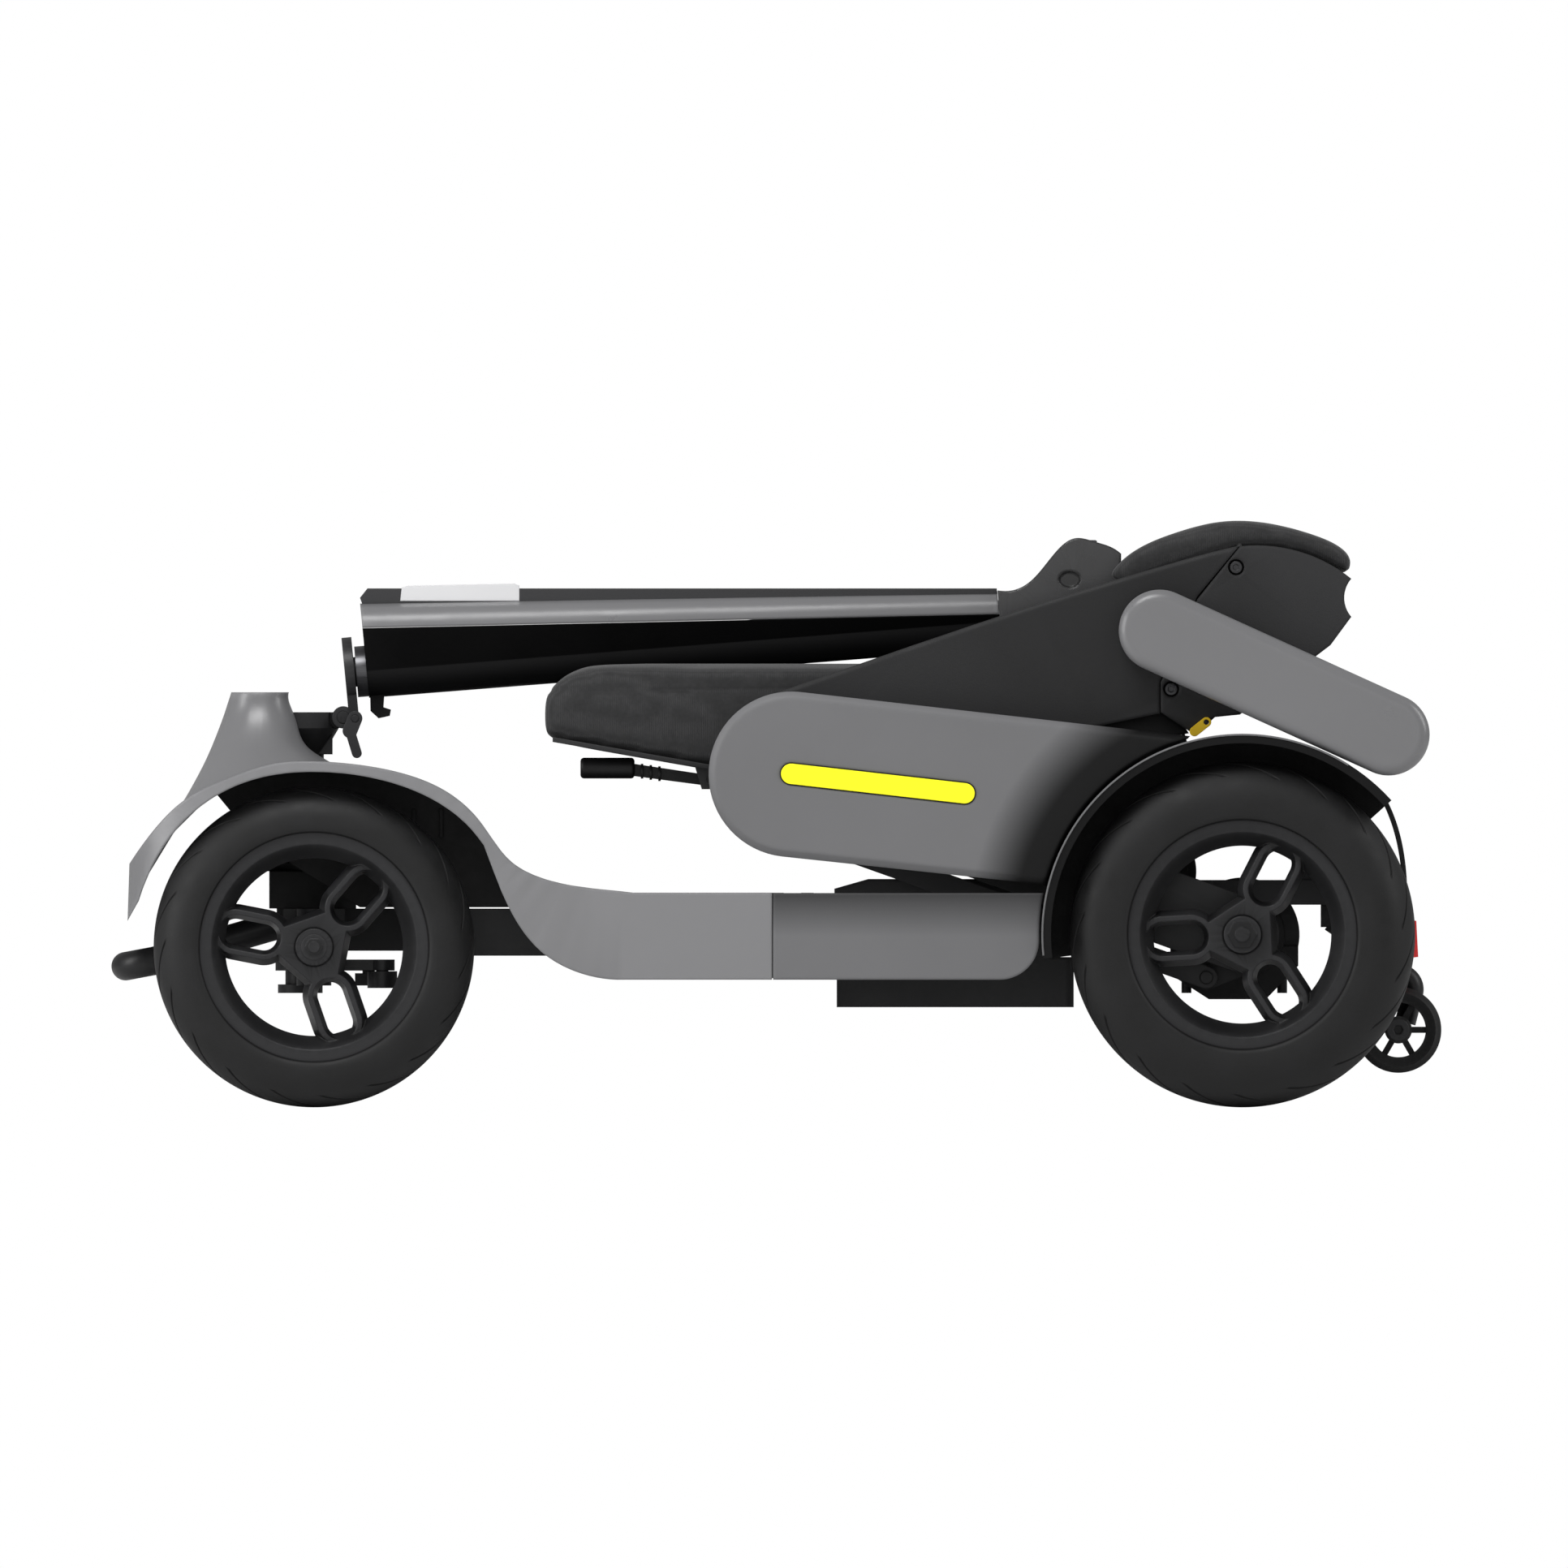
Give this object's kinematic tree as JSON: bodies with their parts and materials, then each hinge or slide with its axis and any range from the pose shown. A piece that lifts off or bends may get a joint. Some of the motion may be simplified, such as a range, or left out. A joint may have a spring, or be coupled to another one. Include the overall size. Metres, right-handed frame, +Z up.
{
  "type": "folding mobility scooter",
  "caption": "Seated mobility scooter folded flat: tiller laid back over the seat, backrest folded over it, steered front and driven rear wheels, anti-tip wheels.",
  "frame": {"origin": "centre of the bounding box in plan, on the ground", "axes": "+Z up, -X towards the front, -Y the rider's left side"},
  "size_m": [1.0701, 0.548, 0.4702],
  "materials": {
    "frame_black": "satin black",
    "body_grey": "satin grey",
    "trim_black": "fine matt black",
    "charcoal": "matt charcoal",
    "gloss_black": "gloss black",
    "tyre": "black rubber",
    "rim_dark": "satin dark coat",
    "mat_rubber": "ribbed black",
    "steel": "turned steel",
    "stripe_yellow": "yellow",
    "tab_orange": "orange yellow",
    "lamp_red": "red lens",
    "lamp_white": "white diffuser",
    "pad_fabric": "black woven"
  },
  "bodies": {
    "chassis": {"main_frame": "frame_black", "front_axle_beam": "frame_black", "deck_floor": "trim_black", "deck_mat": "mat_rubber", "front_body": "body_grey", "front_liners": "trim_black", "rear_skirts": "body_grey", "bumper": "frame_black", "battery_case": "trim_black", "transaxle": "frame_black", "motor": "trim_black", "rear_fenders": "trim_black", "rear_cover": "trim_black", "rear_lamps": "lamp_red", "anti_tip_arms": "frame_black", "steering_head": "frame_black"},
    "fold_base": {"hinge_flange": "frame_black"},
    "fold_release": {"fold_lever": "frame_black"},
    "tiller": {"tiller_tube": "steel", "shroud_rear": "trim_black", "shroud_front": "body_grey", "shroud_insert": "trim_black", "headlight": "lamp_white", "control_head": "gloss_black", "handlebar": "frame_black", "hand_grips": "mat_rubber"},
    "horn": {"horn_button": "trim_black"},
    "key": {"power_key": "steel"},
    "thumb_L": {"thumb_lever_L": "trim_black"},
    "thumb_R": {"thumb_lever_R": "trim_black"},
    "column": {"steering_column": "frame_black"},
    "knuckle_left": {"knuckle_L": "frame_black"},
    "knuckle_right": {"knuckle_R": "frame_black"},
    "track_rod": {"tie_rod": "frame_black"},
    "front_wheel_L": {"front_rim_L": "rim_dark", "front_tyre_L": "tyre"},
    "front_wheel_R": {"front_rim_R": "rim_dark", "front_tyre_R": "tyre"},
    "rear_wheel_L": {"rear_rim_L": "rim_dark", "rear_tyre_L": "tyre", "rear_half_shaft_L": "steel"},
    "rear_wheel_R": {"rear_rim_R": "rim_dark", "rear_tyre_R": "tyre", "rear_half_shaft_R": "steel"},
    "tip_wheel_L": {"anti_tip_wheel_L": "tyre"},
    "tip_wheel_R": {"anti_tip_wheel_R": "tyre"},
    "lift": {"lift_arms": "frame_black", "arm_covers": "body_grey", "arm_stripes": "stripe_yellow"},
    "levelling": {"level_rods": "frame_black"},
    "seat": {"seat_pan": "frame_black", "seat_cushion": "pad_fabric"},
    "seat_release": {"seat_lever": "trim_black"},
    "back": {"back_wings": "charcoal", "back_shell": "charcoal", "back_pad": "pad_fabric"},
    "tab_L": {"release_tab_L": "tab_orange"},
    "tab_R": {"release_tab_R": "tab_orange"},
    "arm_L": {"armrest_L": "body_grey"},
    "arm_R": {"armrest_R": "body_grey"}
  },
  "joints": [
    {"name": "tiller_fold", "type": "hinge", "parent": "chassis", "child": "fold_base", "pos_m": [-0.3484, 0, 0.3138], "axis": [0, -1, 0], "range_deg": [0, 84.5]},
    {"name": "fold_lever_swing", "type": "hinge", "parent": "fold_base", "child": "fold_release", "pos_m": [-0.339, -0.0265, 0.313], "axis": [0, -1, 0], "range_deg": [0, 70]},
    {"name": "steer", "type": "hinge", "parent": "fold_base", "child": "tiller", "pos_m": [-0.3307, 0, 0.351], "axis": [0.9969, 0, 0.0785], "range_deg": [-25, 25]},
    {"name": "horn_press", "type": "slide", "parent": "tiller", "child": "horn", "axis": [0, 0, -1], "range_m": [0, 0.002], "stiffness_N_per_m": 300},
    {"name": "key_turn", "type": "hinge", "parent": "tiller", "child": "key", "pos_m": [0.252, -0.025, 0.455], "axis": [0, 0, -1], "range_deg": [0, 60]},
    {"name": "thumb_lever_L_press", "type": "hinge", "parent": "tiller", "child": "thumb_L", "pos_m": [0.228, -0.068, 0.395], "axis": [0, -1, 0], "range_deg": [0, 20], "stiffness_Nm_per_rad": 0.4, "springref_deg": -5.73},
    {"name": "thumb_lever_R_press", "type": "hinge", "parent": "tiller", "child": "thumb_R", "pos_m": [0.228, 0.068, 0.395], "axis": [0, -1, 0], "range_deg": [0, 20], "stiffness_Nm_per_rad": 0.4, "springref_deg": -5.73},
    {"name": "column_turn", "type": "hinge", "parent": "chassis", "child": "column", "pos_m": [-0.383, 0, 0.2], "axis": [0, 0, 1], "range_deg": [-25, 25]},
    {"name": "kingpin_L", "type": "hinge", "parent": "chassis", "child": "knuckle_left", "pos_m": [-0.372, -0.18, 0.129], "axis": [0, 0, 1], "range_deg": [-25, 25]},
    {"name": "kingpin_R", "type": "hinge", "parent": "chassis", "child": "knuckle_right", "pos_m": [-0.372, 0.18, 0.129], "axis": [0, 0, 1], "range_deg": [-25, 25]},
    {"name": "track_rod_pin", "type": "hinge", "parent": "knuckle_left", "child": "track_rod", "pos_m": [-0.317, -0.18, 0.103], "axis": [0, 0, 1], "range_deg": [-25, 25]},
    {"name": "front_wheel_L_spin", "type": "hinge", "parent": "knuckle_left", "child": "front_wheel_L", "pos_m": [-0.372, -0.226, 0.129], "axis": [0, 1, 0], "continuous": true},
    {"name": "front_wheel_R_spin", "type": "hinge", "parent": "knuckle_right", "child": "front_wheel_R", "pos_m": [-0.372, 0.226, 0.129], "axis": [0, 1, 0], "continuous": true},
    {"name": "rear_wheel_L_spin", "type": "hinge", "parent": "chassis", "child": "rear_wheel_L", "pos_m": [0.375, -0.24, 0.139], "axis": [0, 1, 0], "continuous": true},
    {"name": "rear_wheel_R_spin", "type": "hinge", "parent": "chassis", "child": "rear_wheel_R", "pos_m": [0.375, 0.24, 0.139], "axis": [0, 1, 0], "continuous": true},
    {"name": "tip_wheel_L_spin", "type": "hinge", "parent": "chassis", "child": "tip_wheel_L", "pos_m": [0.5005, -0.107, 0.0624], "axis": [0, 1, 0], "continuous": true},
    {"name": "tip_wheel_R_spin", "type": "hinge", "parent": "chassis", "child": "tip_wheel_R", "pos_m": [0.5005, 0.107, 0.0624], "axis": [0, 1, 0], "continuous": true},
    {"name": "seat_lift", "type": "hinge", "parent": "chassis", "child": "lift", "pos_m": [0.375, 0, 0.139], "axis": [0, 1, 0], "range_deg": [0, 40]},
    {"name": "level_rod_swing", "type": "hinge", "parent": "chassis", "child": "levelling", "pos_m": [0.346, 0, 0.1045], "axis": [0, 1, 0], "range_deg": [0, 40]},
    {"name": "seat_level", "type": "hinge", "parent": "lift", "child": "seat", "pos_m": [0.0121, 0, 0.268], "axis": [0, -1, 0], "range_deg": [0, 40]},
    {"name": "seat_lever_pull", "type": "hinge", "parent": "seat", "child": "seat_release", "pos_m": [-0.053, -0.157, 0.264], "axis": [0, -1, 0], "range_deg": [0, 12], "stiffness_Nm_per_rad": 2, "springref_deg": -11.46},
    {"name": "back_fold", "type": "hinge", "parent": "seat", "child": "back", "pos_m": [0.0121, 0, 0.268], "axis": [0, -1, 0], "range_deg": [0, 52]},
    {"name": "release_tab_L_lift", "type": "hinge", "parent": "back", "child": "tab_L", "pos_m": [0.346, -0.2205, 0.31], "axis": [0, 1, 0], "range_deg": [0, 20], "stiffness_Nm_per_rad": 0.05, "springref_deg": -5.73},
    {"name": "release_tab_R_lift", "type": "hinge", "parent": "back", "child": "tab_R", "pos_m": [0.346, 0.2205, 0.31], "axis": [0, 1, 0], "range_deg": [0, 20], "stiffness_Nm_per_rad": 0.05, "springref_deg": -5.73},
    {"name": "armrest_L_flip", "type": "hinge", "parent": "back", "child": "arm_L", "pos_m": [0.3085, -0.25, 0.3836], "axis": [0, -1, 0], "range_deg": [0, 145]},
    {"name": "armrest_R_flip", "type": "hinge", "parent": "back", "child": "arm_R", "pos_m": [0.3085, 0.25, 0.3836], "axis": [0, -1, 0], "range_deg": [0, 145]}
  ],
  "couplings": [
    {"joint": "column_turn", "follows": "steer", "ratio": 1},
    {"joint": "kingpin_L", "follows": "steer", "ratio": 1},
    {"joint": "kingpin_R", "follows": "steer", "ratio": 1},
    {"joint": "track_rod_pin", "follows": "steer", "ratio": -1},
    {"joint": "seat_lift", "follows": "tiller_fold", "ratio": 0.47337},
    {"joint": "level_rod_swing", "follows": "tiller_fold", "ratio": 0.47337},
    {"joint": "seat_level", "follows": "tiller_fold", "ratio": 0.47337}
  ]
}
